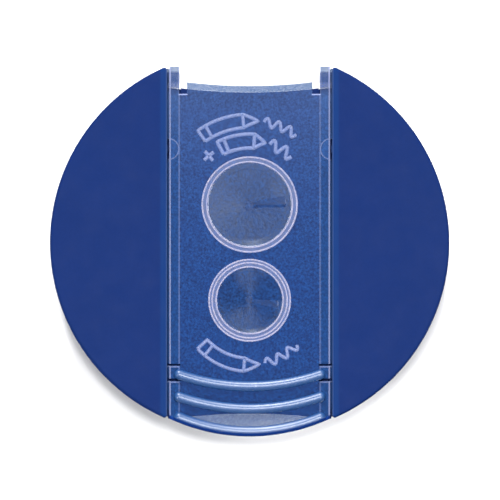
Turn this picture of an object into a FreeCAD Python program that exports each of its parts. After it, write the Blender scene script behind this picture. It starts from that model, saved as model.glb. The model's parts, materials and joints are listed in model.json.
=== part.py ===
"""Hand-held drum pencil sharpener: two holes, a sliding front cover and a shavings tub.

The sharpener lies on its flat back, with the origin on that back, on the drum's axis.
+Z leaves the front face, +X crosses the cover's channel and -Y is the way the cover opens.
Everything is in millimetres.
"""
import FreeCAD, Part
import math
import os
from FreeCAD import Vector

# Drum: two round lobes side by side, with a channel between them
LOBE_RADIUS = 27.4
LOBE_OFFSET = 1.17
DEPTH = 41.4
CHANNEL_HALF = 11.8
WALL = 1.6
LOBE_EDGE = 0.4
CHANNEL_EDGE = 0.35

# Shallow scoops that shorten the channel at its far end (+Y) and its thumb end (-Y)
FAR_END_Y = 21.5
THUMB_END_Y = -24.5
SCOOP_RADIUS = 80.0

# Rear tub
TUB_WALL = 1.8
TUB_TOP = 25.8
TUB_EDGE = 1.5
LIP_INSET = 1.0
LIP_TOP = 28.0

# Front housing: core frame and the two side shells
FRONT_BOTTOM = 26.0
REBATE_INSET = 0.85
REBATE_TOP = 28.35
BASE_TOP = 29.9
BASE_RIM = 3.3
BASE_BAR_HALF = 14.8
SHELL_GAP = 0.05
CORE_HALF = 9.9
CORE_WALL = 2.1
STOP_BLOCK_TOP = 34.0
PLATE_TOP = 39.0
PLATE_THICK = 1.5

# Slide cover
COVER_HALF = 11.5
COVER_TOP = 40.6
COVER_SKIN = 1.1
COVER_EDGE = 0.25
FLANGE_WALL = 1.4
FLANGE_BOTTOM = 34.3
FLANGE_TOP_Y = 25.2
COVER_FAR_END_Y = 22.4
COVER_FAR_END_RADIUS = 74.0
COVER_ARC_RADIUS = 27.2
COVER_ARC_Y = -0.55
SKIRT_WALL = 1.0
SKIRT_CLEARANCE = 0.1
RELIEF_INNER_HALF = 8.97
RELIEF_Y = 21.3
COVER_TRAVEL = 42.0

# Tongues and the grooves that they run in, and the feet that end the cover's travel
RAIL_BOTTOM = 35.2
RAIL_HEIGHT = 1.0
RAIL_CLEARANCE = 0.25
TONGUE_REACH = 0.7
TONGUE_Y = (-24.0, 24.9)
FOOT_Y = (23.0, 24.4)
FOOT_BOTTOM = 30.4

# Snap fingers in the flanges, and the half-round detents near the far end
FINGER_SLITS = ((-17.5, 0.3), (-19.65, 0.4))
DETENT_Y = 13.4
DETENT_RADIUS = 1.5
DETENT_PROUD = 0.15

# Thumb ribs: middle of the rib on the Y axis, and radius of its curve
RIB_HALF_WIDTH = 0.75
RIB_END_HALF = 10.1
THUMB_RIBS = ((-20.55, 31.0), (-23.75, 31.0), (-27.0, 26.45))

# Metal sharpener block, with its large and small pencil holes
BLOCK_HALF = 6.6
BLOCK_Y = (-14.4, 12.6)
BLOCK_FRONT = 36.0
BLOCK_REAR = 13.0
BLOCK_EDGE = 0.4
GRIP_Z = (15.0, 28.0)
GRIP_DEPTH = 0.6
GRIP_GROOVES = 7
GRIP_GROOVE_RADIUS = 0.35
CRADLE_GAP = 0.05
CRADLE_BOTTOM = 29.0
CHIP_WINDOW_TOP = 33.6
GUIDE_DROP = 0.1
COLLAR_PROUD = 0.25
MOUTH_DEPTH = 2.0

# Blades and their screws
BLADE_THICK = 0.8
BLADE_INSET = 0.16
BLADE_SEAT_GAP = 0.02
CHIP_SLOT = 0.35
BLADE_BEVEL = 1.2
BLADE_KEEN_EDGE = 0.05
SCREW_HEAD_RADIUS = 2.1
SCREW_HEAD_THICK = 1.2
SCREW_HEAD_EDGE = 0.3
SCREW_SHANK_RADIUS = 1.2
SCREW_SHANK_LENGTH = 3.4
SCREW_SLOT = (0.6, 0.5)
SCREW_ACROSS = 0.55
SCREW_ALONG = 0.68

# Each hole: axis Y, bore radius, tip radius, where its cone starts and ends, radius of the
# block's flared mouth, guide radius, collar radius, and the length and width of its blade
# (the sign gives the blade's side)
LARGE_HOLE = {
    "y": 5.44, "bore": 5.2, "tip": 0.7, "cone_top": 32.0, "cone_end": 14.5,
    "mouth": 5.9, "guide": 6.0, "collar": 6.85, "blade_length": 19.0, "blade_width": 7.0, "side": 1,
}
SMALL_HOLE = {
    "y": -8.28, "bore": 4.2, "tip": 0.6, "cone_top": 31.5, "cone_end": 14.0,
    "mouth": 4.62, "guide": 4.68, "collar": 5.9, "blade_length": 18.5, "blade_width": 6.0, "side": -1,
}

FAR = 60.0
UP = Vector(0, 0, 1)


def block(x, y, z):
    """Box between the low and high value given for each axis."""
    size = (x[1] - x[0], y[1] - y[0], z[1] - z[0])
    return Part.makeBox(*size, Vector(x[0], y[0], z[0]))


def disc(radius, centre, z):
    """Upright cylinder."""
    return Part.makeCylinder(radius, z[1] - z[0], Vector(centre[0], centre[1], z[0]), UP)


def scoop(end_y, inset, z):
    """Space that a channel scoop takes from the drum, grown by the inset."""
    side = 1 if end_y > 0 else -1
    half = CHANNEL_HALF + inset
    round_space = disc(SCOOP_RADIUS + inset, (0, end_y + side * SCOOP_RADIUS), z)
    span = sorted((end_y - side * FAR / 2, end_y + side * FAR / 2))
    return round_space.common(block((-half, half), span, z))


def edges_at(shape, height):
    """Edges that lie flat at a height."""
    flat = []
    for edge in shape.Edges:
        bounds = edge.BoundBox
        if abs(bounds.ZMin - height) < 1e-4 and abs(bounds.ZMax - height) < 1e-4:
            flat.append(edge)
    return flat


def drum(inset, z, edge=0):
    """The drum's outline, drawn in by the inset and extruded between two heights.

    An edge radius rounds the lower edge of both lobes.
    """
    lobes = [disc(LOBE_RADIUS - inset, (side * LOBE_OFFSET, 0), z) for side in (-1, 1)]
    if edge:
        lobes = [lobe.makeFillet(edge, edges_at(lobe, z[0])) for lobe in lobes]
    return lobes[0].fuse(lobes[1]).cut(scoop(FAR_END_Y, inset, z)).cut(scoop(THUMB_END_Y, inset, z))


def middle(half, z):
    """The slab within a distance of the Y axis."""
    return block((-half, half), (-FAR, FAR), z)


def beyond(side, distance, z):
    """Everything on one side, further than a distance from the Y axis."""
    return block(sorted((side * distance, side * FAR)), (-FAR, FAR), z)


def make_rear_tub():
    body = drum(0, (0, TUB_TOP), TUB_EDGE)
    body = body.cut(drum(TUB_WALL, (TUB_WALL, TUB_TOP + 1)))
    lip_heights = (TUB_TOP, LIP_TOP)
    lip = drum(LIP_INSET, lip_heights).cut(drum(TUB_WALL, lip_heights))
    return body.fuse(lip).removeSplitter()


def make_core_frame():
    lower_half = CHANNEL_HALF - SHELL_GAP
    lower = drum(0, (FRONT_BOTTOM, STOP_BLOCK_TOP)).common(middle(lower_half, (0, DEPTH)))
    upper = drum(0, (STOP_BLOCK_TOP, PLATE_TOP)).common(middle(CORE_HALF, (0, DEPTH)))
    skirt_room = COVER_ARC_RADIUS - SKIRT_WALL - SKIRT_CLEARANCE
    thumb_end_round = disc(skirt_room, (0, COVER_ARC_Y), (0, DEPTH))
    frame = lower.fuse(upper.common(thumb_end_round))

    # Hollow it: the rebate for the tub's lip, the room inside, and the tracks beside the core
    # that the cover's feet run in as far as the stop blocks
    plate_bottom = PLATE_TOP - PLATE_THICK
    inner_half = CORE_HALF - CORE_WALL
    inside = (REBATE_TOP, plate_bottom)
    frame = frame.cut(drum(REBATE_INSET, (FRONT_BOTTOM - 1, REBATE_TOP)))
    room = drum(WALL, inside).common(middle(inner_half, inside))
    frame = frame.cut(room)
    track_low = FOOT_Y[0] - COVER_TRAVEL - RAIL_CLEARANCE
    for side in (-1, 1):
        across = sorted((side * CORE_HALF, side * FAR))
        frame = frame.cut(block(across, (track_low, FAR), (BASE_TOP, DEPTH)))

    # Base plate that the side shells sit on, with a window under each shell
    base_heights = (REBATE_TOP, BASE_TOP)
    base = drum(WALL + SHELL_GAP, base_heights).cut(middle(inner_half, base_heights))
    for side in (-1, 1):
        window = drum(BASE_RIM, base_heights).common(beyond(side, BASE_BAR_HALF, base_heights))
        base = base.cut(window)
    frame = frame.fuse(base)

    # Cradle round the block, open towards the chips
    block_half = BLOCK_HALF + CRADLE_GAP
    block_y = (BLOCK_Y[0] - CRADLE_GAP, BLOCK_Y[1] + CRADLE_GAP)
    cradle_y = (block_y[0] - WALL, block_y[1] + WALL)
    cradle = block((-inner_half, inner_half), cradle_y, (CRADLE_BOTTOM, plate_bottom))
    pocket_top = BLOCK_FRONT + GUIDE_DROP
    cradle = cradle.cut(block((-block_half, block_half), block_y, (0, pocket_top)))
    cradle = cradle.cut(block((0, inner_half), block_y, (0, CHIP_WINDOW_TOP)))
    frame = frame.fuse(cradle)

    # Collars and guide holes in front of the block
    for hole in (LARGE_HOLE, SMALL_HOLE):
        centre = (0, hole["y"])
        frame = frame.fuse(disc(hole["collar"], centre, (plate_bottom, PLATE_TOP + COLLAR_PROUD)))
    for hole in (LARGE_HOLE, SMALL_HOLE):
        frame = frame.cut(disc(hole["guide"], (0, hole["y"]), (BLOCK_FRONT - 1, DEPTH)))
    return frame.removeSplitter()


def make_side_shell(side):
    heights = (FRONT_BOTTOM, DEPTH)
    shell = drum(0, heights).common(beyond(side, CHANNEL_HALF, heights))
    top_edges = edges_at(shell, DEPTH)
    channel_edges = [edge for edge in top_edges if edge.BoundBox.XLength < 1e-4]
    shell = shell.makeFillet(CHANNEL_EDGE, channel_edges)
    round_edges = [edge for edge in edges_at(shell, DEPTH) if edge.BoundBox.XLength > 1]
    shell = shell.makeFillet(LOBE_EDGE, round_edges)
    cavity_z = (FRONT_BOTTOM - 1, DEPTH - WALL)
    cavity = drum(WALL, cavity_z).common(beyond(side, CHANNEL_HALF + WALL, cavity_z))
    shell = shell.cut(cavity)
    shell = shell.cut(drum(REBATE_INSET, (FRONT_BOTTOM - 1, REBATE_TOP)))
    shell = shell.cut(drum(WALL, (REBATE_TOP, BASE_TOP + SHELL_GAP)))

    # Groove for the cover's tongue, and the detent bump beside the cover
    reach = CHANNEL_HALF + TONGUE_REACH - (CHANNEL_HALF - COVER_HALF) + RAIL_CLEARANCE
    across = sorted((side * (CHANNEL_HALF - 1), side * reach))
    groove_z = (RAIL_BOTTOM - RAIL_CLEARANCE, RAIL_BOTTOM + RAIL_HEIGHT + RAIL_CLEARANCE)
    shell = shell.cut(block(across, (-FAR, FAR), groove_z))
    bump_z = (groove_z[1] + RAIL_CLEARANCE, COVER_TOP - COVER_SKIN)
    bump_offset = CHANNEL_HALF + DETENT_RADIUS - DETENT_PROUD
    bump = disc(DETENT_RADIUS, (side * bump_offset, DETENT_Y), bump_z)
    shell = shell.fuse(bump.common(block(sorted((side * CORE_HALF, side * (CHANNEL_HALF + WALL))),
                                         (-FAR, FAR), bump_z)))
    return shell.removeSplitter()


def cover_section():
    """Cross-section of the cover, bevelled along both long edges."""
    half = COVER_HALF
    inner = half - FLANGE_WALL
    skin_bottom = COVER_TOP - COVER_SKIN
    right = [
        (half - COVER_EDGE, COVER_TOP), (half, COVER_TOP - COVER_EDGE),
        (half, RAIL_BOTTOM + RAIL_HEIGHT), (half + TONGUE_REACH, RAIL_BOTTOM + RAIL_HEIGHT),
        (half + TONGUE_REACH, RAIL_BOTTOM), (half, RAIL_BOTTOM),
        (half, FLANGE_BOTTOM), (inner, FLANGE_BOTTOM), (inner, skin_bottom),
    ]
    left = [(-x, z) for x, z in reversed(right)]
    corners = [Vector(x, -FAR, z) for x, z in right + left]
    return Part.Face(Part.makePolygon(corners + corners[:1]))


def make_rib(middle_y, curve_radius):
    """Raised bead along an arc, with round ends."""
    centre = Vector(0, middle_y + curve_radius, 0)
    height = COVER_TOP
    start = Vector(0, middle_y, height)
    profile = Part.Face(Part.Wire(Part.makeCircle(RIB_HALF_WIDTH, start, Vector(1, 0, 0))))
    half_angle = math.degrees(math.asin(RIB_END_HALF / curve_radius))
    profile.rotate(centre, UP, -half_angle)
    bead = profile.revolve(centre, UP, 2 * half_angle)
    for side in (-1, 1):
        drop = curve_radius * math.cos(math.radians(half_angle))
        end = Vector(side * RIB_END_HALF, centre.y - drop, height)
        bead = bead.fuse(Part.makeSphere(RIB_HALF_WIDTH, end))
    return bead


def make_slide_cover():
    cover = cover_section().extrude(Vector(0, 2 * FAR, 0))
    whole = (0, DEPTH)
    flange_inner = COVER_HALF - FLANGE_WALL
    tongue_z = (RAIL_BOTTOM - 0.01, RAIL_BOTTOM + RAIL_HEIGHT + 0.01)

    # Thumb end follows the drum's round outline; far end is square
    end_round = disc(COVER_ARC_RADIUS, (0, COVER_ARC_Y), whole)
    far_side = block((-FAR, FAR), (0, FLANGE_TOP_Y), whole)
    cover = cover.common(end_round.common(block((-FAR, FAR), (-FAR, 0), whole)).fuse(far_side))

    # Panel's concave end and the relief notches beside the flanges
    panel_z = (COVER_TOP - COVER_SKIN - 1, DEPTH)
    hollow_y = COVER_FAR_END_Y + COVER_FAR_END_RADIUS
    concave = disc(COVER_FAR_END_RADIUS, (0, hollow_y), panel_z)
    between = block((-flange_inner, flange_inner), (0, FAR), panel_z)
    cover = cover.cut(concave.common(between))
    for side in (-1, 1):
        across = sorted((side * RELIEF_INNER_HALF, side * flange_inner))
        cover = cover.cut(block(across, (RELIEF_Y, FAR), panel_z))

    # Tongues stop short of both ends
    for side in (-1, 1):
        across = sorted((side * COVER_HALF, side * FAR))
        cover = cover.cut(block(across, (-FAR, TONGUE_Y[0]), tongue_z))
        cover = cover.cut(block(across, (TONGUE_Y[1], FAR), tongue_z))

    # Skirt that closes the thumb end and stops the cover against the core
    skirt_z = (FLANGE_BOTTOM, COVER_TOP - COVER_SKIN)
    skirt = disc(COVER_ARC_RADIUS, (0, COVER_ARC_Y), skirt_z)
    skirt = skirt.cut(disc(COVER_ARC_RADIUS - SKIRT_WALL, (0, COVER_ARC_Y), skirt_z))
    skirt = skirt.common(block((-COVER_HALF, COVER_HALF), (-FAR, 0), skirt_z))
    cover = cover.fuse(skirt)

    # Feet under the flanges; past them only the skin goes on to the tip
    for side in (-1, 1):
        across = sorted((side * flange_inner, side * COVER_HALF))
        cover = cover.fuse(block(across, FOOT_Y, (FOOT_BOTTOM, FLANGE_BOTTOM + 1)))
        cover = cover.cut(block(across, (FOOT_Y[1], FAR), (0, COVER_TOP - COVER_SKIN)))

    # Half-round detent recess in each flange, under the skin
    for side in (-1, 1):
        recess = disc(DETENT_RADIUS, (side * CHANNEL_HALF, DETENT_Y), (0, COVER_TOP - COVER_SKIN))
        cover = cover.cut(recess)

    # Slits that free a snap finger in each flange
    for side in (-1, 1):
        for slit_y, slit_width in FINGER_SLITS:
            across = sorted((side * (flange_inner - 0.2), side * FAR))
            along = (slit_y - slit_width / 2, slit_y + slit_width / 2)
            cover = cover.cut(block(across, along, whole))

    for middle_y, curve_radius in THUMB_RIBS:
        cover = cover.fuse(make_rib(middle_y, curve_radius))
    return cover.removeSplitter()


def cone_slope(hole):
    """Angle between the cone's side and its axis."""
    fall = hole["cone_top"] - hole["cone_end"]
    return math.atan((hole["bore"] - hole["tip"]) / fall)


def on_blade_seat(shape, hole):
    """Move a shape made flat at the origin onto the blade seat of a hole.

    In the flat shape +X leaves the seat, -Z runs towards the hole's tip and +Y crosses the
    blade away from its cutting edge.
    """
    if hole["side"] < 0:
        shape = shape.mirror(Vector(0, 0, 0), Vector(0, 1, 0))
    slope = cone_slope(hole)
    shape.rotate(Vector(0, 0, 0), Vector(0, 1, 0), math.degrees(slope))
    seat_x = hole["bore"] - BLADE_INSET
    shape.translate(Vector(seat_x, hole["y"], hole["cone_top"]))
    return shape


def screw_place(hole):
    """Middle of the blade screw on the flat seat, as Y and Z."""
    return SCREW_ACROSS * hole["blade_width"], -SCREW_ALONG * hole["blade_length"]


def round_on_seat(radius, hole, low, high):
    """Cylinder square to the blade seat, at the blade screw."""
    y, z = screw_place(hole)
    flat = Part.makeCylinder(radius, high - low, Vector(low, y, z), Vector(1, 0, 0))
    return on_blade_seat(flat, hole)


def grips():
    """Hollow, grooved finger grips across both ends of the block."""
    half_length = (GRIP_Z[1] - GRIP_Z[0]) / 2
    radius = (half_length ** 2 + GRIP_DEPTH ** 2) / (2 * GRIP_DEPTH)
    middle_z = sum(GRIP_Z) / 2
    across = Vector(1, 0, 0)
    tools = []
    for end, side in zip(BLOCK_Y, (-1, 1)):
        centre_y = end + side * (radius - GRIP_DEPTH)
        start = Vector(-FAR, centre_y, middle_z)
        tools.append(Part.makeCylinder(radius, 2 * FAR, start, across))
        for groove in range(GRIP_GROOVES):
            along = (groove + 0.5) / GRIP_GROOVES * 2 - 1
            lift = along * half_length
            face_y = centre_y - side * math.sqrt(radius ** 2 - lift ** 2)
            start = Vector(-FAR, face_y, middle_z + lift)
            tools.append(Part.makeCylinder(GRIP_GROOVE_RADIUS, 2 * FAR, start, across))
    return tools[0].fuse(tools[1:])


def make_sharpener_block():
    body = block((-BLOCK_HALF, BLOCK_HALF), BLOCK_Y, (BLOCK_REAR, BLOCK_FRONT))
    upright = [e for e in body.Edges if e.BoundBox.ZLength > 1]
    body = body.makeFillet(BLOCK_EDGE, upright)
    body = body.cut(grips())
    for hole in (LARGE_HOLE, SMALL_HOLE):
        centre = (0, hole["y"])
        depth = hole["cone_top"] - hole["cone_end"]
        foot = Vector(0, hole["y"], hole["cone_end"])
        body = body.cut(disc(hole["bore"], centre, (hole["cone_top"], BLOCK_FRONT + 1)))
        body = body.cut(Part.makeCone(hole["tip"], hole["bore"], depth, foot, UP))
        mouth = Vector(0, hole["y"], BLOCK_FRONT - MOUTH_DEPTH)
        body = body.cut(Part.makeCone(hole["bore"], hole["mouth"], MOUTH_DEPTH, mouth, UP))

        # Sloping seat for the blade, which opens the cone in a slot in front of the cutting edge
        seat = block((0, FAR), (-CHIP_SLOT, FAR), (-FAR, FAR))
        body = body.cut(on_blade_seat(seat, hole))
        body = body.cut(round_on_seat(SCREW_SHANK_RADIUS, hole, -SCREW_SHANK_LENGTH, 1))
    return body.removeSplitter()


def make_blade(hole):
    width = hole["blade_width"]
    top = BLADE_SEAT_GAP + BLADE_THICK
    outline = [(BLADE_SEAT_GAP, BLADE_KEEN_EDGE), (top, BLADE_BEVEL), (top, width), (BLADE_SEAT_GAP, width)]
    corners = [Vector(x, y, -hole["blade_length"]) for x, y in outline]
    flat = Part.Face(Part.makePolygon(corners + corners[:1]))
    flat = flat.extrude(Vector(0, 0, hole["blade_length"]))
    y, z = screw_place(hole)
    flat = flat.cut(Part.makeCylinder(SCREW_SHANK_RADIUS, FAR, Vector(-FAR / 2, y, z), Vector(1, 0, 0)))
    return on_blade_seat(flat, hole)


def make_blade_screw(hole):
    y, z = screw_place(hole)
    low = BLADE_SEAT_GAP + BLADE_THICK
    high = low + SCREW_HEAD_THICK
    along = Vector(1, 0, 0)
    screw = Part.makeCylinder(SCREW_HEAD_RADIUS, SCREW_HEAD_THICK, Vector(low, y, z), along)
    screw = screw.makeFillet(SCREW_HEAD_EDGE, [e for e in screw.Edges if abs(e.BoundBox.XMin - high) < 1e-4])
    shank = Part.makeCylinder(SCREW_SHANK_RADIUS, SCREW_SHANK_LENGTH + low,
                              Vector(-SCREW_SHANK_LENGTH, y, z), along)
    slot_width, slot_depth = SCREW_SLOT
    slot = block((high - slot_depth, high + 1), (-FAR, FAR), (z - slot_width / 2, z + slot_width / 2))
    return on_blade_seat(screw.fuse(shank).cut(slot).removeSplitter(), hole)


def main():
    os.makedirs("parts", exist_ok=True)
    nodes = {
        "rear_tub": make_rear_tub(),
        "core_frame": make_core_frame(),
        "left_shell": make_side_shell(-1),
        "right_shell": make_side_shell(1),
        "slide_cover": make_slide_cover(),
        "sharpener_block": make_sharpener_block(),
        "large_blade": make_blade(LARGE_HOLE),
        "small_blade": make_blade(SMALL_HOLE),
        "large_blade_screw": make_blade_screw(LARGE_HOLE),
        "small_blade_screw": make_blade_screw(SMALL_HOLE),
    }
    for name, shape in nodes.items():
        solids = len(shape.Solids)
        print(f"{name}: {solids} solid, {shape.Volume:.1f} mm3, valid {shape.isValid()}")
        shape.exportStep(f"parts/{name}.step")


main()
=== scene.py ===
"""Looks of the drum pencil sharpener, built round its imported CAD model. Metres, +Z out of its face."""

import json
import math

import bmesh
import bpy
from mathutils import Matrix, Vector


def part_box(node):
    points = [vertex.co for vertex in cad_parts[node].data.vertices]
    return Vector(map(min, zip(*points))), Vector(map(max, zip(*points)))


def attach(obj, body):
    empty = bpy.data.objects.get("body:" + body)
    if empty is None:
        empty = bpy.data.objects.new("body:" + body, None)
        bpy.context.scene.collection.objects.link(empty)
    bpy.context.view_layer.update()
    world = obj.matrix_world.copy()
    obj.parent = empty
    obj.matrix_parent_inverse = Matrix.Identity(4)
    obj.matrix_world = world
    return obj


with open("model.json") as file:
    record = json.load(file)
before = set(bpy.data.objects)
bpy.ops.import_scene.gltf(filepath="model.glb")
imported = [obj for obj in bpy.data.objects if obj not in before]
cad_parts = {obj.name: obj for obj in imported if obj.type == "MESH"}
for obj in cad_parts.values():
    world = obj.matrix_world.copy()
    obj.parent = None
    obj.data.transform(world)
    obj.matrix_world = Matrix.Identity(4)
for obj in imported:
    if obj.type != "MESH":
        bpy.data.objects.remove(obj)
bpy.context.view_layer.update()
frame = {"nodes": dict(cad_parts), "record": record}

MM = 0.001
mounts = {mount["name"]: mount for mount in frame["record"]["mounts"]}
large_hole = Vector(mounts["large_pencil_hole"]["pos_m"])
small_hole = Vector(mounts["small_pencil_hole"]["pos_m"])
_, core_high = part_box("core_frame")
_, cover_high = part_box("slide_cover")
shell_low, shell_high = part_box("right_shell")

COLLAR_PROUD = 0.25 * MM
PLATE_TOP = core_high.z - COLLAR_PROUD
PANEL_TOP = shell_high.z - 0.8 * MM
COVER_HALF = cover_high.x - 0.7 * MM
FLANGE_INNER = COVER_HALF - 1.4 * MM
FOOT_MIDDLE = cover_high.y - 1.5 * MM
DETENT_PROUD = 0.15 * MM
CHANNEL_HALF = shell_low.x + DETENT_PROUD
DETENT = (11.65 * MM, 13.4 * MM)
DETENT_RADIUS = 1.5 * MM
SLIT_EDGES = (-17.78 * MM, -19.98 * MM)
NOTCH_Y = 21.2 * MM
NOTCH_HALF = 8.97 * MM
BLOCK_SPLIT_Y = -1.4 * MM
LAST_RIB = (-0.55 * MM, 26.45 * MM)
BOW_RADIUS = 80 * MM
FAR_BOW_Y = 21.5 * MM + BOW_RADIUS
THUMB_BOW_Y = -24.5 * MM - BOW_RADIUS

SHELL_BLUE = (0.0042, 0.0162, 0.0868, 1.0)
CORE_BLUE = (0.0042, 0.0155, 0.0830, 1.0)

# Tones of the cover's areas as 8-bit display values, tuned to the photo's front view
COVER_TONES = {
    "dark_speckle": (2, 35, 88),
    "light_speckle": (32, 82, 152),
    "cloud": (12, 58, 128),
    # painted light: paler towards the far end
    "far_end_light": (112, 128, 164),
    # painted light: paler, bluer flanges
    "flange": (34, 96, 174),
    # painted shade near the flanges' far end
    "flange_end_shade": (46, 64, 110),
    # painted light on the flanges' tips
    "flange_tip_light": (88, 106, 136),
    "foot": (12, 50, 102),
    # painted highlight: pale lines along edges
    "edge": (152, 162, 204),
    "rib": (24, 70, 124),
    # painted shade on the thumb end's front strip
    "lip": (16, 44, 104),
    "ends": (56, 86, 126),
}
# How much each area adds to the cover's opacity; the lens is the clear strip at the thumb end
COVER_DENSITY = {
    "rib": 0.62,
    "edge": 0.38,
    "foot": 0.5,
    "lip": 0.76,
    "far_end": 0.33,
    "lens": 0.16,
    "far_end_light": 0.2,
}
FAR_LIGHT_START = -12 * MM
FLANGE_LIGHT_START = 12 * MM
FLANGE_END = (21 * MM, 22 * MM)
LIP_Y = (-23 * MM, -24 * MM)
FOOT_HALF = 0.65 * MM
CUT_LINE = 0.08 * MM
BOW_BLUR = 0.1 * MM

# Distances from a hole's axis at which the turned metal and its even-toned tip fade out, and the
# spacing of the turned rings
LARGE_BORE = (5.90 * MM, 5.95 * MM)
SMALL_BORE = (4.62 * MM, 4.67 * MM)
TIP_REACH = (0.75 * MM, 1.0 * MM)
TURNED_PITCH = 1.1 * MM

CAMERA_DISTANCE = 1.25
CAMERA_CENTRE = (0.05 * MM, -1.06 * MM)
SENSOR_MM = 36
VIEW_WIDTH = 71.5 * MM
FLOOR_REACH = 3.0

# World light by height: position on the ramp, and colour
SKY_RAMP = ((0.62, (1.0, 1.0, 1.0, 1)), (0.90, (0.06, 0.06, 0.07, 1)))

# Lamps: angle from +X towards +Y and tilt from straight overhead in degrees, square size in metres,
# power. right_high gives the soft band in the large hole.
WORLD_LIGHT = 0.50
LAMP_DISTANCE = 1.1
LAMPS = {
    "overhead": (90, 2.0, 0.04, 8.2),
    "key": (96, 58, 0.24, 16.0),
    "left_fill": (205, 38, 0.22, 3.4),
    "right_fill": (-25, 38, 0.22, 0.8),
    "right_high": (6, 17, 0.10, 5.2),
    "low_fill": (270, 36, 0.22, 0.6),
}


# ---------------------------------------------------------------- node helpers

def linear(red, green, blue):
    """Linear colour from 8-bit display values."""
    def one(value):
        value /= 255
        return value / 12.92 if value <= 0.04045 else ((value + 0.055) / 1.055) ** 2.4
    return (one(red), one(green), one(blue), 1.0)


class Shader:
    """A node material under construction, with a Principled surface."""

    def __init__(self, name, **settings):
        self.material = bpy.data.materials.new(name)
        self.material.use_nodes = True
        self.tree = self.material.node_tree
        self.surface = self.tree.nodes["Principled BSDF"]
        for socket, value in settings.items():
            self.surface.inputs[socket.replace("_", " ")].default_value = value
        self.place = self.tree.nodes.new("ShaderNodeTexCoord").outputs["Object"]

    def node(self, kind, inputs=(), **options):
        new = self.tree.nodes.new(kind)
        for option, value in options.items():
            setattr(new, option, value)
        for socket, value in dict(inputs).items():
            if isinstance(value, bpy.types.NodeSocket):
                self.tree.links.new(value, new.inputs[socket])
            else:
                new.inputs[socket].default_value = value
        return new

    def link(self, source, socket):
        self.tree.links.new(source, self.surface.inputs[socket])

    def vector_math(self, operation, first, second):
        return self.node("ShaderNodeVectorMath", {0: first, 1: second}, operation=operation)

    def stretched(self, x, y, z):
        """Object coordinates, stretched per axis."""
        return self.vector_math("MULTIPLY", self.place, (x, y, z)).outputs[0]

    def noise(self, size, detail=2.0, vector=None, roughness=0.5):
        """Noise from 0 to 1 whose lumps have about this size, in metres."""
        inputs = {"Vector": vector or self.place, "Scale": 1 / size, "Detail": detail, "Roughness": roughness}
        return self.node("ShaderNodeTexNoise", inputs).outputs["Fac"]

    def span(self, value, low, high, out_low=0.0, out_high=1.0):
        """Map a value from one range to another, clamped."""
        inputs = {"Value": value, "From Min": low, "From Max": high, "To Min": out_low, "To Max": out_high}
        return self.node("ShaderNodeMapRange", inputs).outputs[0]

    def blend(self, factor, first, second):
        return self.node("ShaderNodeMix", {0: factor, 6: first, 7: second}, data_type="RGBA").outputs[2]

    def math(self, operation, first, second=0.0):
        return self.node("ShaderNodeMath", {0: first, 1: second}, operation=operation).outputs[0]

    def product(self, first, *others):
        for other in others:
            first = self.math("MULTIPLY", first, other)
        return first

    def strongest(self, first, *others):
        for other in others:
            first = self.math("MAXIMUM", first, other)
        return first

    def band(self, value, middle, half_width):
        """1 within a distance of a place, fading to 0 just past it."""
        away = self.math("ABSOLUTE", self.math("SUBTRACT", value, middle))
        return self.span(away, half_width, half_width * 1.3, 1.0, 0.0)

    def axis(self, name):
        return self.node("ShaderNodeSeparateXYZ", {0: self.place}).outputs[name]

    def reach(self, centre, place=None):
        """Distance, seen from above, to an upright axis through a point."""
        flat = self.vector_math("MULTIPLY", place or self.place, (1, 1, 0)).outputs[0]
        return self.vector_math("DISTANCE", flat, (centre[0], centre[1], 0)).outputs["Value"]

    def bump(self, height, depth, strength=1.0, under=None):
        """Add surface relief of a depth in metres; returns the normal."""
        inputs = {"Height": height, "Distance": depth, "Strength": strength}
        if under is not None:
            inputs["Normal"] = under
        return self.node("ShaderNodeBump", inputs).outputs["Normal"]


def moulded_plastic(name, colour, roughness, grain, grain_depth, shine=0.3):
    """Opaque moulded plastic: fine spark-eroded grain, faint flow tone and handling marks."""
    shader = Shader(name, IOR=1.5, Specular_IOR_Level=shine)
    flow = shader.noise(9 * MM, 3.0, shader.stretched(1, 1, 0.4))
    darker = tuple(c * 0.98 for c in colour[:3]) + (1.0,)
    lighter = tuple(c * 1.02 for c in colour[:3]) + (1.0,)
    tone = shader.blend(shader.span(flow, 0.35, 0.65), darker, lighter)
    speck = shader.span(shader.noise(0.35 * MM, 1.0), 0.3, 0.7, 0.97, 1.03)
    scaled = shader.node("ShaderNodeVectorMath", {0: tone, "Scale": speck}, operation="SCALE")
    shader.colour = scaled.outputs[0]
    shader.link(shader.colour, "Base Color")
    marks = shader.noise(2.5 * MM, 4.0, None, 0.65)
    shader.rough = shader.span(marks, 0.3, 0.75, roughness - 0.05, roughness + 0.09)
    shader.link(shader.rough, "Roughness")
    fine = shader.noise(grain, 2.0)
    shader.link(shader.bump(fine, grain_depth, 0.6), "Normal")
    return shader


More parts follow.
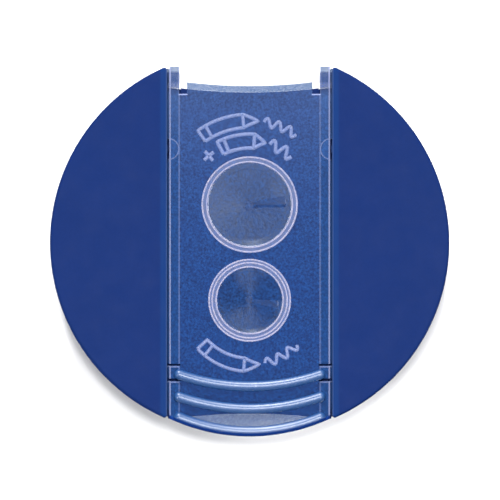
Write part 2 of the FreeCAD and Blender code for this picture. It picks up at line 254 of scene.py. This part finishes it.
def shell_plastic():
    """Smooth blue plastic with a matt face, a lighter strip by the channel and a pale line on its corner,
    both painted light.
    """
    shader = moulded_plastic("shell_blue_plastic", SHELL_BLUE, 0.34, 0.16 * MM, 0.003 * MM)
    face = shader.span(shader.axis("Z"), shell_high.z - 0.6 * MM, shell_high.z - 0.45 * MM)
    shader.link(shader.math("ADD", shader.rough, shader.product(face, 0.16)), "Roughness")
    across = shader.math("ABSOLUTE", shader.axis("X"))
    outside = shader.span(across, CHANNEL_HALF + 0.2 * MM, CHANNEL_HALF + 0.4 * MM, 0.03, 0.3)
    shine = shader.node("ShaderNodeMix", {0: face, 2: outside, 3: 0.03}).outputs[0]
    shader.link(shine, "Specular IOR Level")
    # Painted light: a lighter strip along the channel and a pale line on its top corner
    edge = shader.span(across, CHANNEL_HALF + 0.8 * MM, CHANNEL_HALF + 1.1 * MM, 1.0, 0.0)
    tone = shader.blend(edge, shader.colour, linear(13, 42, 92))
    corner = shader.span(across, CHANNEL_HALF + 0.12 * MM, CHANNEL_HALF + 0.22 * MM, 1.0, 0.0)
    top = shader.span(shader.axis("Z"), shell_high.z - 0.3 * MM, shell_high.z - 0.15 * MM)
    corner_highlight = shader.product(corner, top)
    shader.link(shader.blend(corner_highlight, tone, linear(52, 72, 116)), "Base Color")
    return shader.material


def core_plastic():
    """Matt blue plastic, with the collars round the holes painted paler as a highlight."""
    shader = moulded_plastic("core_blue_plastic", CORE_BLUE, 0.55, 0.18 * MM, 0.014 * MM, 0.04)
    # Painted highlight: the raised collars are paler
    raised = shader.span(shader.axis("Z"), PLATE_TOP + 0.05 * MM, PLATE_TOP + 0.15 * MM)
    shader.link(shader.blend(raised, shader.colour, linear(136, 142, 166)), "Base Color")
    return shader.material


def edge_mask(shader, across, along, height, flange):
    """Painted highlights: pale lines on the cover's cut and outer edges, and on the outlines of its detents,
    slits and notches.
    """
    top_face = shader.span(height, PANEL_TOP - 0.5 * MM, PANEL_TOP - 0.3 * MM)
    outer = shader.product(shader.span(across, COVER_HALF - 0.25 * MM, COVER_HALF - 0.18 * MM), top_face)
    inner = shader.product(shader.band(across, FLANGE_INNER, 0.11 * MM), 0.22)
    mirrored = shader.node("ShaderNodeCombineXYZ", {"X": across, "Y": along}).outputs[0]
    detent = shader.product(shader.band(shader.reach(DETENT, mirrored), DETENT_RADIUS, 0.06 * MM), 0.45)
    slits = [shader.product(shader.band(along, slit_y, CUT_LINE), flange, 0.5) for slit_y in SLIT_EDGES]
    notch_width = shader.band(across, (NOTCH_HALF + FLANGE_INNER) / 2, (FLANGE_INNER - NOTCH_HALF) / 2)
    notch = shader.product(shader.band(along, NOTCH_Y, CUT_LINE), notch_width, 0.8)
    return shader.strongest(outer, inner, detent, *slits, notch)


def lip_mask(shader, along, height):
    """The thumb end's front strip, past the last rib, where shade is painted."""
    last_y, last_radius = LAST_RIB
    past_rib = shader.span(shader.reach((0, last_y)), last_radius + 0.12 * MM, last_radius + 0.36 * MM)
    upper = shader.span(height, PANEL_TOP - 1.4 * MM, PANEL_TOP - 0.8 * MM)
    return shader.product(past_rib, shader.span(along, *LIP_Y), upper)


def bow_mask(shader, centre_y):
    """The part of an end that stands clear of the core, inside its bow."""
    out = shader.reach((0, centre_y))
    return shader.span(out, BOW_RADIUS - BOW_BLUR, BOW_RADIUS + BOW_BLUR, 1.0, 0.0)


def frosted_cover():
    """Translucent blue plastic: a frosted, speckled face, with tones tuned area by area, some of them painted
    light and shade.
    """
    shader = Shader("frosted_blue_plastic", IOR=1.49)
    across = shader.math("ABSOLUTE", shader.axis("X"))
    along, height = shader.axis("Y"), shader.axis("Z")
    speckle = shader.noise(0.30 * MM, 1.0)
    cloud = shader.noise(4 * MM, 3.0)
    tones = {area: linear(*tone) for area, tone in COVER_TONES.items()}

    # Painted light: paler and denser towards the far end, most of all along the flanges
    flange = shader.span(across, FLANGE_INNER - 0.1 * MM, FLANGE_INNER)
    rise = shader.span(along, FAR_LIGHT_START, cover_high.y)
    far_end_light = shader.product(rise, rise, shader.span(speckle, 0.3, 0.7, 0.24, 0.28))
    flange_light = shader.product(flange, shader.span(along, FLANGE_LIGHT_START, cover_high.y, 0.0, 0.3))
    far_end_light = shader.math("ADD", far_end_light, flange_light)

    # Painted shade near the flanges' far end, painted light on their tips
    flange_end_shade = shader.product(flange, shader.span(along, *FLANGE_END, 0.0, 0.8))
    flange_tip_light = shader.product(flange, shader.span(along, cover_high.y - 1.1 * MM, cover_high.y - 0.9 * MM))
    foot = shader.product(shader.band(along, FOOT_MIDDLE, FOOT_HALF), flange)
    edge = edge_mask(shader, across, along, height, flange)
    rib = shader.span(height, PANEL_TOP + 0.03 * MM, PANEL_TOP + 0.30 * MM)
    # Painted shade on the thumb end's front strip
    lip = lip_mask(shader, along, height)
    far_end, lens = bow_mask(shader, FAR_BOW_Y), bow_mask(shader, THUMB_BOW_Y)
    ends = shader.strongest(shader.product(far_end, 0.85), shader.product(lens, 0.5))
    ends = shader.product(ends, shader.math("SUBTRACT", 1.0, shader.strongest(rib, flange)))

    base = shader.blend(shader.span(speckle, 0.3, 0.7), tones["dark_speckle"], tones["light_speckle"])
    for mask, area in (
        (shader.span(cloud, 0.35, 0.65, 0.0, 0.3), "cloud"),
        (far_end_light, "far_end_light"),
        # painted light: flanges paler
        (shader.product(flange, 0.4), "flange"),
        (flange_end_shade, "flange_end_shade"),
        (flange_tip_light, "flange_tip_light"),
        (foot, "foot"),
        (edge, "edge"),
        (rib, "rib"),
        (lip, "lip"),
        (ends, "ends"),
    ):
        base = shader.blend(mask, base, tones[area])
    shader.link(base, "Base Color")

    masks = {"rib": rib, "edge": edge, "foot": foot, "lip": lip}
    masks.update({"far_end": far_end, "lens": lens, "far_end_light": far_end_light})
    added = {area: shader.product(mask, COVER_DENSITY[area]) for area, mask in masks.items()}
    clear = shader.math("ADD", shader.strongest(added["far_end"], added["lens"]), added["far_end_light"])
    dense = shader.strongest(added["rib"], added["edge"], added["foot"], added["lip"], clear)
    grain = shader.span(speckle, 0.3, 0.7, 0.23, 0.34)
    shader.link(shader.math("ADD", dense, grain), "Alpha")

    frosted = shader.span(speckle, 0.2, 0.8, 0.42, 0.56)
    shader.link(shader.math("SUBTRACT", frosted, shader.product(rib, 0.08)), "Roughness")
    gloss = shader.product(shader.span(rib, 0.0, 1.0, 0.1, 1.15), shader.math("SUBTRACT", 1.0, lip))
    shader.link(gloss, "Specular IOR Level")
    shader.link(shader.bump(speckle, 0.02 * MM, 0.5), "Normal")
    return shader.material


def pale_relief(name, low, high):
    """Pale, slightly frosted plastic of the raised rims and symbols; on the rims the near-white tone is a
    painted highlight.
    """
    shader = Shader(name, IOR=1.5)
    speckle = shader.noise(0.25 * MM, 2.0)
    shader.link(shader.blend(shader.span(speckle, 0.3, 0.7), low, high), "Base Color")
    shader.link(shader.span(speckle, 0.3, 0.7, 0.42, 0.58), "Roughness")
    shader.link(shader.bump(speckle, 0.02 * MM, 0.5), "Normal")
    return shader.material


def turned_metal():
    """Die-cast metal: cast grain outside, and turned metal that rings the pencil holes, darkened there as
    painted shade.
    """
    shader = Shader("turned_cast_metal", Anisotropic=1.0, Anisotropic_Rotation=0.25)
    cast = shader.noise(0.5 * MM, 4.0, None, 0.6)
    large_side = shader.math("GREATER_THAN", shader.axis("Y"), BLOCK_SPLIT_Y)
    to_axis = shader.blend(large_side, (*small_hole.xy, 0, 1), (*large_hole.xy, 0, 1))
    out = shader.vector_math("SUBTRACT", shader.place, to_axis).outputs[0]
    around = shader.vector_math("CROSS_PRODUCT", (0, 0, 1), out).outputs[0]
    shader.link(around, "Tangent")
    large_bore = shader.span(shader.reach(large_hole), *LARGE_BORE, 1.0, 0.0)
    small_bore = shader.span(shader.reach(small_hole), *SMALL_BORE, 1.0, 0.0)
    bored = shader.strongest(large_bore, small_bore)
    shader.link(shader.span(bored, 0.0, 1.0, 1.0, 0.9), "Metallic")

    grain = shader.blend(shader.span(cast, 0.3, 0.7), (0.34, 0.35, 0.37, 1), (0.48, 0.49, 0.51, 1))
    fine = shader.noise(0.25 * MM, 2.0)
    # Painted shade: the turned metal in the bores, tip included, is far darker than the cast metal outside
    bore_shade_dark, bore_shade_light = (0.105, 0.115, 0.11, 1), (0.155, 0.165, 0.16, 1)
    turned = shader.blend(shader.span(fine, 0.3, 0.7), bore_shade_dark, bore_shade_light)
    from_axis = shader.math("MINIMUM", shader.reach(large_hole), shader.reach(small_hole))
    tip = shader.span(from_axis, *TIP_REACH, 1.0, 0.0)
    turned = shader.blend(tip, turned, (0.115, 0.12, 0.125, 1))
    shader.link(shader.blend(bored, grain, turned), "Base Color")
    rough = shader.span(cast, 0.25, 0.75, 0.36, 0.48)
    shader.link(shader.math("ADD", rough, shader.product(bored, 0.24)), "Roughness")
    wave = {"Vector": shader.place, "Scale": 1 / TURNED_PITCH, "Distortion": 0.6, "Detail": 2.0}
    rings = shader.node("ShaderNodeTexWave", wave, wave_type="BANDS", bands_direction="Z").outputs["Fac"]
    relief = shader.bump(cast, 0.02 * MM, shader.span(bored, 0.0, 1.0, 0.5, 0.02))
    shader.link(shader.bump(rings, 0.006 * MM, 0.7, relief), "Normal")
    return shader.material


def ground_steel(name, colour, roughness):
    """Steel with fine grinding lines across its length."""
    shader = Shader(name, Metallic=1.0)
    lines = shader.noise(0.12 * MM, 3.0, shader.stretched(0.15, 0.15, 1))
    shader.link(shader.blend(lines, colour, tuple(c * 1.25 for c in colour[:3]) + (1,)), "Base Color")
    shader.link(shader.span(lines, 0.25, 0.75, roughness - 0.06, roughness + 0.08), "Roughness")
    shader.link(shader.bump(lines, 0.006 * MM, 0.6), "Normal")
    return shader.material


def dress(node, material):
    """Give a CAD node its finished material."""
    mesh = frame["nodes"][node].data
    if not mesh.materials:
        mesh.materials.append(material)
    for index in range(len(mesh.materials)):
        mesh.materials[index] = material


# ---------------------------------------------------------------- raised rims and symbols

def add_piece(name, mesh_or_curve, material, body):
    piece = bpy.data.objects.new(name, mesh_or_curve)
    bpy.context.scene.collection.objects.link(piece)
    mesh_or_curve.materials.append(material)
    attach(piece, body)
    return piece


def rim(name, centre, radius, thickness, height, material):
    """Round bead that rings a pencil hole."""
    bm = bmesh.new()
    around, section = 128, 10
    loops = []
    for i in range(around):
        turn = 2 * math.pi * i / around
        loop = []
        for j in range(section):
            tilt = 2 * math.pi * j / section
            reach = radius + thickness * math.cos(tilt)
            loop.append(bm.verts.new((centre.x + reach * math.cos(turn), centre.y + reach * math.sin(turn),
                                      height + thickness * math.sin(tilt))))
        loops.append(loop)
    for i in range(around):
        here, following = loops[i], loops[(i + 1) % around]
        for j in range(section):
            k = (j + 1) % section
            bm.faces.new((here[j], following[j], following[k], here[k])).smooth = True
    bmesh.ops.recalc_face_normals(bm, faces=bm.faces)
    mesh = bpy.data.meshes.new(name)
    bm.to_mesh(mesh)
    bm.free()
    return add_piece(name, mesh, material, "front")


def on_arc(centre, radius, start, side):
    """Placing rule for a symbol: distance along an arc and offset from it, to X and Y.

    Side 1 arches over the hole, and side -1 hangs under it; both run left to right.
    """
    def place(along, offset):
        turn = math.radians(start) + along / radius
        reach = radius + side * offset
        return centre.x + reach * math.sin(turn), centre.y + side * reach * math.cos(turn)
    return place


def finely(points, step=0.2 * MM):
    """Points along a polyline, close enough together to bend round an arc."""
    fine = [points[0]]
    for (ax, ay), (bx, by) in zip(points, points[1:]):
        count = max(1, math.ceil(math.hypot(bx - ax, by - ay) / step))
        fine += [(ax + (bx - ax) * i / count, ay + (by - ay) * i / count) for i in range(1, count + 1)]
    return fine


def symbol(name, strokes, place, width, material):
    """Raised line symbol on the core's front plate. A stroke is a list of points on the arc."""
    curve = bpy.data.curves.new(name, "CURVE")
    curve.dimensions = "3D"
    curve.bevel_depth = width / 2
    curve.bevel_resolution = 3
    curve.use_fill_caps = True
    for stroke in strokes:
        points = [place(*point) for point in finely(stroke)]
        spline = curve.splines.new("POLY")
        spline.points.add(len(points) - 1)
        for point, (x, y) in zip(spline.points, points):
            point.co = (x, y, PLATE_TOP, 1)
    return add_piece(name, curve, material, "front")


def pencil_strokes(start, length, width, cone):
    """Line drawing of a pencil that points to the right."""
    half = width / 2
    shoulder = start + length - cone
    tip = start + length
    outline = [(start, -half), (shoulder, -half), (tip, 0), (shoulder, half), (start, half), (start, -half)]
    eraser = start + 0.14 * length
    return [outline, [(eraser, -half), (eraser, half)], [(shoulder, -half), (shoulder, half)]]


def wave_stroke(start, length, height, pitch):
    """Wavy line, as drawn by the pencil before it."""
    count = max(2, round(length / (0.12 * MM)))
    return [[(start + length * i / count, height / 2 * math.sin(2 * math.pi * length * i / count / pitch))
             for i in range(count + 1)]]


def add_relief():
    # Painted highlight: the rims are near-white
    rim_highlight = pale_relief("rim_painted_highlight", linear(232, 220, 236), linear(255, 246, 255))
    pale = pale_relief("pale_symbol", linear(166, 176, 216), linear(194, 202, 238))
    bead_height = core_high.z - 0.03 * MM
    for name, centre, radius, thickness in (
        ("large_collar_outer_rim", large_hole, 6.78 * MM, 0.14 * MM),
        ("large_collar_inner_rim", large_hole, 6.13 * MM, 0.12 * MM),
        ("small_collar_outer_rim", small_hole, 5.82 * MM, 0.13 * MM),
        ("small_collar_middle_rim", small_hole, 5.38 * MM, 0.12 * MM),
        ("small_collar_inner_rim", small_hole, 4.80 * MM, 0.12 * MM),
    ):
        rim(name, centre, radius, thickness, bead_height, rim_highlight)

    line, thick = 0.52 * MM, 0.56 * MM
    upper = on_arc(large_hole, 12.0 * MM, -35, 1)
    symbol("slim_pencil_mark_large", pencil_strokes(0, 8.6 * MM, 1.9 * MM, 2.2 * MM), upper, line, pale)
    symbol("slim_line_mark_large", wave_stroke(9.4 * MM, 5.0 * MM, 1.2 * MM, 1.66 * MM), upper, line, pale)
    inner = on_arc(large_hole, 9.1 * MM, -40, 1)
    plus = [[(-0.9 * MM, 0), (0.9 * MM, 0)], [(0, -0.9 * MM), (0, 0.9 * MM)]]
    symbol("plus_mark", plus, inner, thick, pale)
    symbol("thick_pencil_mark", pencil_strokes(2.0 * MM, 6.6 * MM, 2.0 * MM, 1.6 * MM), inner, thick, pale)
    symbol("thick_line_mark", wave_stroke(9.3 * MM, 3.6 * MM, 1.5 * MM, 1.8 * MM), inner, thick, pale)
    lower = on_arc(small_hole, 9.25 * MM, -47, -1)
    symbol("slim_pencil_mark_small", pencil_strokes(0, 9.0 * MM, 1.9 * MM, 2.2 * MM), lower, line, pale)
    symbol("slim_line_mark_small", wave_stroke(9.8 * MM, 5.3 * MM, 1.2 * MM, 1.77 * MM), lower, line, pale)


# ---------------------------------------------------------------- stage

def add_area_light(name, place, target, size, power):
    light = bpy.data.lights.new(name, "AREA")
    light.shape = "RECTANGLE"
    light.size = light.size_y = size
    light.energy = power
    lamp = bpy.data.objects.new(name, light)
    lamp.location = place
    lamp.rotation_euler = (Vector(target) - Vector(place)).to_track_quat("-Z", "Y").to_euler()
    bpy.context.scene.collection.objects.link(lamp)


def add_stage():
    floor_mesh = bpy.data.meshes.new("floor")
    corners = [(FLOOR_REACH * x, FLOOR_REACH * y, 0) for x, y in ((-1, -1), (1, -1), (1, 1), (-1, 1))]
    floor_mesh.from_pydata(corners, [], [(0, 1, 2, 3)])
    floor = bpy.data.objects.new("floor", floor_mesh)
    bpy.context.scene.collection.objects.link(floor)
    shader = Shader("pale_floor", Roughness=0.9, Specular_IOR_Level=0.1)
    tone = shader.noise(0.02, 3.0)
    shader.link(shader.blend(tone, (0.90, 0.90, 0.905, 1), (0.93, 0.93, 0.93, 1)), "Base Color")
    floor_mesh.materials.append(shader.material)

    world = bpy.data.worlds.new("studio")
    world.use_nodes = True
    nodes, links = world.node_tree.nodes, world.node_tree.links
    background = nodes["Background"]
    position = nodes.new("ShaderNodeTexCoord")
    height = nodes.new("ShaderNodeSeparateXYZ")
    ramp = nodes.new("ShaderNodeValToRGB")
    links.new(position.outputs["Generated"], height.inputs[0])
    links.new(height.outputs["Z"], ramp.inputs[0])
    links.new(ramp.outputs[0], background.inputs[0])
    for element, (stop, colour) in zip(ramp.color_ramp.elements, SKY_RAMP):
        element.color = colour
        element.position = stop
    background.inputs[1].default_value = WORLD_LIGHT
    bpy.context.scene.world = world

    for name, (bearing, tilt, size, power) in LAMPS.items():
        reach = LAMP_DISTANCE * math.sin(math.radians(tilt))
        turn = math.radians(bearing)
        height = shell_high.z + LAMP_DISTANCE * math.cos(math.radians(tilt))
        place = (reach * math.cos(turn), reach * math.sin(turn), height)
        add_area_light(name, place, (0, 0, shell_high.z), size, power)


def add_camera():
    """Straight down on the face, from far enough to look nearly flat."""
    camera_data = bpy.data.cameras.new("camera")
    camera_data.sensor_width = SENSOR_MM
    camera_data.lens = SENSOR_MM * CAMERA_DISTANCE / VIEW_WIDTH
    camera = bpy.data.objects.new("camera", camera_data)
    camera.location = (*CAMERA_CENTRE, shell_high.z + CAMERA_DISTANCE)
    bpy.context.scene.collection.objects.link(camera)
    bpy.context.scene.camera = camera


def main():
    bpy.context.scene.view_settings.view_transform = "Standard"
    add_camera()
    add_stage()

    dress("rear_tub", moulded_plastic("tub_blue_plastic", SHELL_BLUE, 0.36, 0.22 * MM, 0.006 * MM).material)
    dress("core_frame", core_plastic())
    shell = shell_plastic()
    dress("left_shell", shell)
    dress("right_shell", shell)
    dress("slide_cover", frosted_cover())
    dress("sharpener_block", turned_metal())
    steel = ground_steel("ground_blade_steel", (0.70, 0.71, 0.72, 1), 0.58)
    dress("large_blade", steel)
    dress("small_blade", steel)
    nickel = ground_steel("nickel_screw", (0.62, 0.61, 0.59, 1), 0.2)
    dress("large_blade_screw", nickel)
    dress("small_blade_screw", nickel)
    add_relief()


main()
